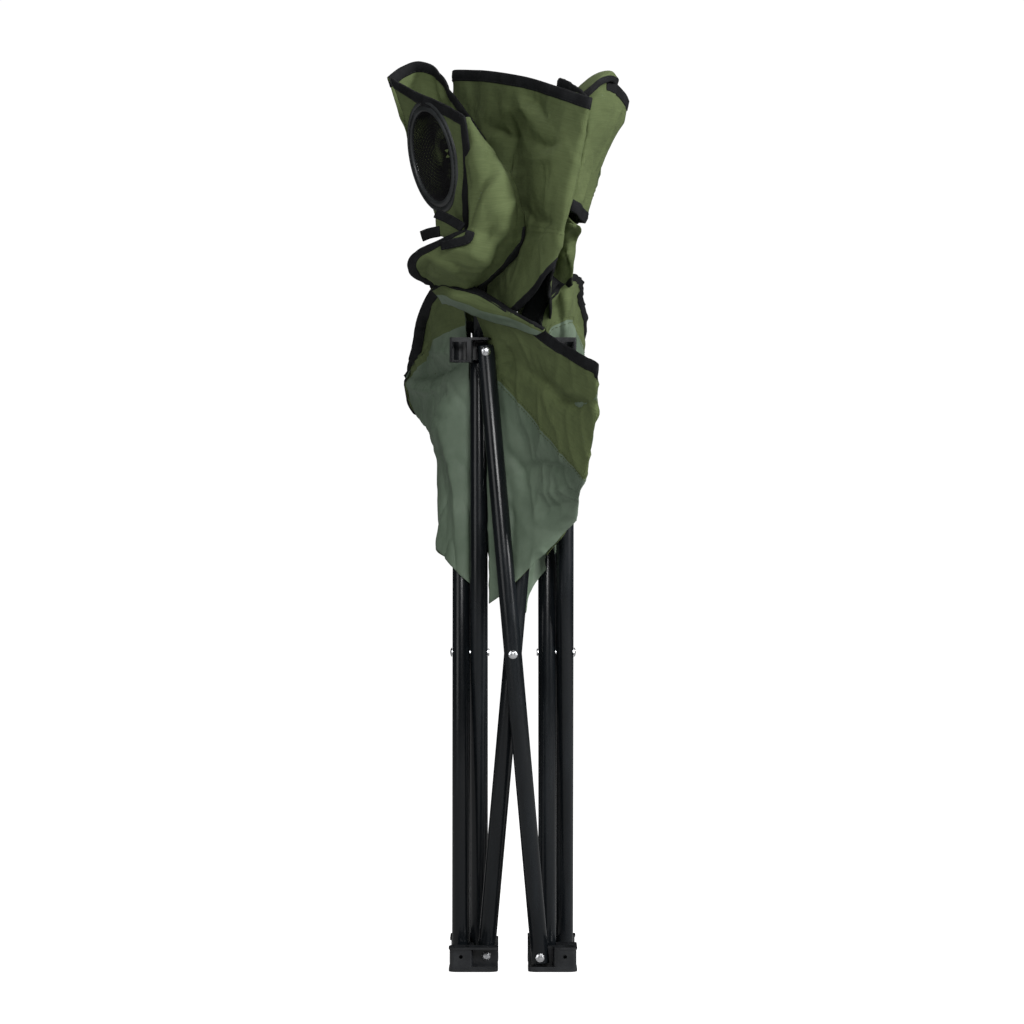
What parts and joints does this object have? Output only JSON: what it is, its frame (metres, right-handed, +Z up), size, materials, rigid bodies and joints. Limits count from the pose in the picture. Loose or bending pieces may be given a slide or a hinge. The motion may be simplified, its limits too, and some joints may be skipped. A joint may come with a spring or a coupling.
{
  "type": "folding camp chair",
  "caption": "Folding camp chair, shown closed: scissor-braced steel tube frame, moulded feet and hubs, fabric seat, back and arms, cup holder.",
  "frame": {"origin": "middle of the closed chair's box, on the ground", "axes": "+Z up, -Y is the front that a sitter faces, +X is to the right seen from the front"},
  "size_m": [0.2012, 0.4194, 0.807],
  "materials": {
    "black_paint": "gloss powder coat",
    "black_plastic": "satin moulded",
    "grey_plastic": "satin moulded",
    "zinc": "zinc plated",
    "olive_cloth": "woven polyester, coated inside",
    "black_cloth": "woven tape and mesh"
  },
  "bodies": {
    "foot_front_left": {"foot_front_left": "black_plastic", "rivet_front_inner_foot": "zinc", "rivet_left_outer_foot": "zinc"},
    "front_inner_bar": {"front_inner_bar": "black_paint"},
    "front_outer_bar": {"front_outer_bar": "black_paint", "rivet_front_cross": "zinc"},
    "foot_front_right": {"foot_front_right": "black_plastic", "rivet_front_outer_foot": "zinc", "rivet_right_inner_foot": "zinc"},
    "hub_front_right": {"hub_front_right": "black_plastic", "arm_post_right": "black_paint", "rivet_front_inner_hub": "zinc", "rivet_right_outer_hub": "zinc"},
    "hub_front_left": {"hub_front_left": "black_plastic", "arm_post_left": "black_paint", "rivet_front_outer_hub": "zinc", "rivet_left_inner_hub": "zinc"},
    "left_outer_bar": {"left_outer_bar": "black_paint", "rivet_left_cross": "zinc"},
    "left_inner_bar": {"left_inner_bar": "black_paint"},
    "foot_rear_left": {"foot_rear_left": "black_plastic", "rear_post_left": "black_paint", "post_cap_left": "black_plastic", "rivet_left_inner_foot": "zinc", "rivet_back_outer_foot": "zinc"},
    "hub_rear_left": {"hub_rear_left": "black_plastic", "rivet_left_outer_hub": "zinc", "rivet_back_inner_hub": "zinc"},
    "back_outer_bar": {"back_outer_bar": "black_paint", "rivet_back_cross": "zinc"},
    "back_inner_bar": {"back_inner_bar": "black_paint"},
    "foot_rear_right": {"foot_rear_right": "black_plastic", "rear_post_right": "black_paint", "post_cap_right": "black_plastic", "rivet_back_inner_foot": "zinc", "rivet_right_outer_foot": "zinc"},
    "hub_rear_right": {"hub_rear_right": "black_plastic", "rivet_back_outer_hub": "zinc", "rivet_right_inner_hub": "zinc"},
    "right_inner_bar": {"right_inner_bar": "black_paint"},
    "right_outer_bar": {"right_outer_bar": "black_paint", "rivet_right_cross": "zinc"},
    "seat_front_left": {"seat_front_left": "olive_cloth"},
    "seat_front_right": {"seat_front_right": "olive_cloth"},
    "seat_left_front": {"seat_left_front": "olive_cloth"},
    "seat_left_rear": {"seat_left_rear": "olive_cloth"},
    "seat_right_front": {"seat_right_front": "olive_cloth"},
    "seat_right_rear": {"seat_right_rear": "olive_cloth"},
    "seat_rear_left": {"seat_rear_left": "olive_cloth"},
    "seat_rear_right": {"seat_rear_right": "olive_cloth"},
    "back_left": {"back_left": "olive_cloth"},
    "back_right": {"back_right": "olive_cloth"},
    "arm_left_front": {"arm_left_front": "olive_cloth", "cup_ring": "grey_plastic", "cup_pocket": "black_cloth"},
    "arm_left_middle": {"arm_left_middle": "olive_cloth"},
    "arm_left_rear": {"arm_left_rear": "olive_cloth"},
    "arm_right_front": {"arm_right_front": "olive_cloth"},
    "arm_right_middle": {"arm_right_middle": "olive_cloth"},
    "arm_right_rear": {"arm_right_rear": "olive_cloth"}
  },
  "joints": [
    {"name": "fold", "type": "hinge", "parent": "foot_front_left", "child": "front_inner_bar", "pos_m": [-0.0243, -0.0354, 0.0125], "axis": [0, 1, 0], "range_deg": [0, 43.9]},
    {"name": "front_cross", "type": "hinge", "parent": "front_inner_bar", "child": "front_outer_bar", "pos_m": [0, -0.0434, 0.28492], "axis": [0, 1, 0], "range_deg": [-88.8, 1]},
    {"name": "front_right_foot_turn", "type": "hinge", "parent": "front_outer_bar", "child": "foot_front_right", "pos_m": [0.0243, -0.0517, 0.0125], "axis": [0, 1, 0], "range_deg": [-1, 44.9]},
    {"name": "front_right_hub_turn", "type": "hinge", "parent": "front_inner_bar", "child": "hub_front_right", "pos_m": [0.0243, -0.0354, 0.55734], "axis": [0, 1, 0], "range_deg": [-44.9, 1]},
    {"name": "front_left_hub_turn", "type": "hinge", "parent": "front_outer_bar", "child": "hub_front_left", "pos_m": [-0.0243, -0.0517, 0.55734], "axis": [0, 1, 0], "range_deg": [-1, 44.9]},
    {"name": "left_outer_foot_turn", "type": "hinge", "parent": "foot_front_left", "child": "left_outer_bar", "pos_m": [-0.0473, -0.0287, 0.0125], "axis": [1, 0, 0], "range_deg": [-44.9, 1]},
    {"name": "left_cross", "type": "hinge", "parent": "left_outer_bar", "child": "left_inner_bar", "pos_m": [-0.039, -0.0044, 0.28492], "axis": [1, 0, 0], "range_deg": [-1, 88.8]},
    {"name": "rear_left_foot_turn", "type": "hinge", "parent": "left_inner_bar", "child": "foot_rear_left", "pos_m": [-0.031, 0.0199, 0.0125], "axis": [1, 0, 0], "range_deg": [-44.9, 1]},
    {"name": "rear_left_hub_turn", "type": "hinge", "parent": "left_outer_bar", "child": "hub_rear_left", "pos_m": [-0.0473, 0.0199, 0.55734], "axis": [1, 0, 0], "range_deg": [-1, 44.9]},
    {"name": "back_outer_foot_turn", "type": "hinge", "parent": "foot_rear_left", "child": "back_outer_bar", "pos_m": [-0.0243, 0.0429, 0.0125], "axis": [0, 1, 0], "range_deg": [-1, 44.9]},
    {"name": "back_cross", "type": "hinge", "parent": "back_outer_bar", "child": "back_inner_bar", "pos_m": [0, 0.0346, 0.28492], "axis": [0, 1, 0], "range_deg": [-88.8, 1]},
    {"name": "rear_right_foot_turn", "type": "hinge", "parent": "back_inner_bar", "child": "foot_rear_right", "pos_m": [0.0243, 0.0266, 0.0125], "axis": [0, 1, 0], "range_deg": [-1, 44.9]},
    {"name": "rear_right_hub_turn", "type": "hinge", "parent": "back_outer_bar", "child": "hub_rear_right", "pos_m": [0.0243, 0.0429, 0.55734], "axis": [0, 1, 0], "range_deg": [-44.9, 1]},
    {"name": "right_inner_foot_turn", "type": "hinge", "parent": "foot_front_right", "child": "right_inner_bar", "pos_m": [0.031, -0.0287, 0.0125], "axis": [1, 0, 0], "range_deg": [-44.9, 1]},
    {"name": "right_cross", "type": "hinge", "parent": "right_inner_bar", "child": "right_outer_bar", "pos_m": [0.039, -0.0044, 0.28492], "axis": [1, 0, 0], "range_deg": [-1, 88.8]},
    {"name": "seat_front_left_turn", "type": "hinge", "parent": "hub_front_left", "child": "seat_front_left", "pos_m": [-0.01438, -0.06319, 0.6183], "axis": [0.5709, -0.7125, 0.4079], "range_deg": [-1, 78.44], "deforming": ["seat_front_left"]},
    {"name": "seat_front_right_turn", "type": "hinge", "parent": "seat_front_left", "child": "seat_front_right", "pos_m": [0.05543, -0.17908, 0.45013], "axis": [-0.2215, 0.504, -0.8348], "range_deg": [-1, 162.51], "deforming": ["seat_front_right"]},
    {"name": "seat_left_front_turn", "type": "hinge", "parent": "hub_front_left", "child": "seat_left_front", "pos_m": [-0.07932, 0.06312, 0.60576], "axis": [0.366, -0.9303, 0.0233], "range_deg": [-1, 74.7], "deforming": ["seat_left_front"]},
    {"name": "seat_left_rear_turn", "type": "hinge", "parent": "seat_left_front", "child": "seat_left_rear", "pos_m": [-0.09297, 0.15407, 0.47329], "axis": [-0.0838, 0.4224, 0.9025], "range_deg": [-1, 175.71], "deforming": ["seat_left_rear"]},
    {"name": "seat_right_front_turn", "type": "hinge", "parent": "hub_front_right", "child": "seat_right_front", "pos_m": [0.07341, 0.0669, 0.59891], "axis": [0.309, 0.9465, -0.0931], "range_deg": [-1, 76.14], "deforming": ["seat_right_front"]},
    {"name": "seat_right_rear_turn", "type": "hinge", "parent": "seat_right_front", "child": "seat_right_rear", "pos_m": [0.07394, 0.16021, 0.4784], "axis": [-0.02, -0.4296, -0.9028], "range_deg": [-1, 177.99], "deforming": ["seat_right_rear"]},
    {"name": "seat_rear_left_turn", "type": "hinge", "parent": "hub_rear_left", "child": "seat_rear_left", "pos_m": [-0.02992, 0.03344, 0.60564], "axis": [-0.3753, -0.7387, -0.5598], "range_deg": [-1, 85.4], "deforming": ["seat_rear_left"]},
    {"name": "seat_rear_right_turn", "type": "hinge", "parent": "seat_rear_left", "child": "seat_rear_right", "pos_m": [0.00983, 0.17727, 0.44683], "axis": [0.0058, 0.5646, 0.8253], "range_deg": [-1, 160.7], "deforming": ["seat_rear_right"]},
    {"name": "back_left_turn", "type": "hinge", "parent": "foot_rear_left", "child": "back_left", "pos_m": [-0.0468, 0.0424, 0.7], "axis": [0, 0, 1], "range_deg": [-1, 73.1], "deforming": ["back_left"]},
    {"name": "back_right_turn", "type": "hinge", "parent": "back_left", "child": "back_right", "pos_m": [0.0517, -0.1776, 0.7], "axis": [0, 0, -1], "range_deg": [-1, 171.3], "deforming": ["back_right"]},
    {"name": "arm_left_front_turn", "type": "hinge", "parent": "hub_front_left", "child": "arm_left_front", "pos_m": [-0.08882, -0.0274, 0.75919], "axis": [-0.6957, -0.1237, 0.7076], "range_deg": [-1, 162.48], "deforming": ["arm_left_front", "cup_pocket"]},
    {"name": "arm_left_middle_turn", "type": "hinge", "parent": "arm_left_front", "child": "arm_left_middle", "pos_m": [-0.03886, -0.13059, 0.76262], "axis": [-0.0281, -0.1293, -0.9912], "range_deg": [-1, 93.66], "deforming": ["arm_left_middle"]},
    {"name": "arm_left_rear_turn", "type": "hinge", "parent": "arm_left_middle", "child": "arm_left_rear", "pos_m": [0.05552, -0.08693, 0.66174], "axis": [0.1998, 0.6103, -0.7666], "range_deg": [-1, 111.91], "deforming": ["arm_left_rear"]},
    {"name": "arm_right_front_turn", "type": "hinge", "parent": "hub_front_right", "child": "arm_right_front", "pos_m": [0.06557, -0.03757, 0.74778], "axis": [0.6552, -0.0825, 0.7509], "range_deg": [-1, 173.04], "deforming": ["arm_right_front"]},
    {"name": "arm_right_middle_turn", "type": "hinge", "parent": "arm_right_front", "child": "arm_right_middle", "pos_m": [0.06386, -0.14796, 0.75934], "axis": [0.1148, 0.1769, -0.9775], "range_deg": [-1, 161.33], "deforming": ["arm_right_middle"]},
    {"name": "arm_right_rear_turn", "type": "hinge", "parent": "arm_right_middle", "child": "arm_right_rear", "pos_m": [0.21011, -0.07041, 0.76335], "axis": [0.2363, 0.2426, -0.9409], "range_deg": [-1, 44.96], "deforming": ["arm_right_rear"]}
  ],
  "couplings": [
    {"joint": "front_cross", "follows": "fold", "ratio": -2},
    {"joint": "front_right_foot_turn", "follows": "fold", "ratio": 1},
    {"joint": "front_right_hub_turn", "follows": "fold", "ratio": -1},
    {"joint": "front_left_hub_turn", "follows": "fold", "ratio": 1},
    {"joint": "left_outer_foot_turn", "follows": "fold", "ratio": -1},
    {"joint": "left_cross", "follows": "fold", "ratio": 2},
    {"joint": "rear_left_foot_turn", "follows": "fold", "ratio": -1},
    {"joint": "rear_left_hub_turn", "follows": "fold", "ratio": 1},
    {"joint": "back_outer_foot_turn", "follows": "fold", "ratio": 1},
    {"joint": "back_cross", "follows": "fold", "ratio": -2},
    {"joint": "rear_right_foot_turn", "follows": "fold", "ratio": 1},
    {"joint": "rear_right_hub_turn", "follows": "fold", "ratio": -1},
    {"joint": "right_inner_foot_turn", "follows": "fold", "ratio": -1},
    {"joint": "right_cross", "follows": "fold", "ratio": 2},
    {"joint": "seat_front_left_turn", "follows": "fold", "ratio": 1.764},
    {"joint": "seat_front_right_turn", "follows": "fold", "ratio": 3.679},
    {"joint": "seat_left_front_turn", "follows": "fold", "ratio": 1.6789},
    {"joint": "seat_left_rear_turn", "follows": "fold", "ratio": 3.9798},
    {"joint": "seat_right_front_turn", "follows": "fold", "ratio": 1.7115},
    {"joint": "seat_right_rear_turn", "follows": "fold", "ratio": 4.0317},
    {"joint": "seat_rear_left_turn", "follows": "fold", "ratio": 1.9225},
    {"joint": "seat_rear_right_turn", "follows": "fold", "ratio": 3.6379},
    {"joint": "back_left_turn", "follows": "fold", "ratio": 1.6424},
    {"joint": "back_right_turn", "follows": "fold", "ratio": 3.8793},
    {"joint": "arm_left_front_turn", "follows": "fold", "ratio": 3.6784},
    {"joint": "arm_left_middle_turn", "follows": "fold", "ratio": 2.1107},
    {"joint": "arm_left_rear_turn", "follows": "fold", "ratio": 2.5264},
    {"joint": "arm_right_front_turn", "follows": "fold", "ratio": 3.9189},
    {"joint": "arm_right_middle_turn", "follows": "fold", "ratio": 3.6523},
    {"joint": "arm_right_rear_turn", "follows": "fold", "ratio": 1.0013}
  ]
}
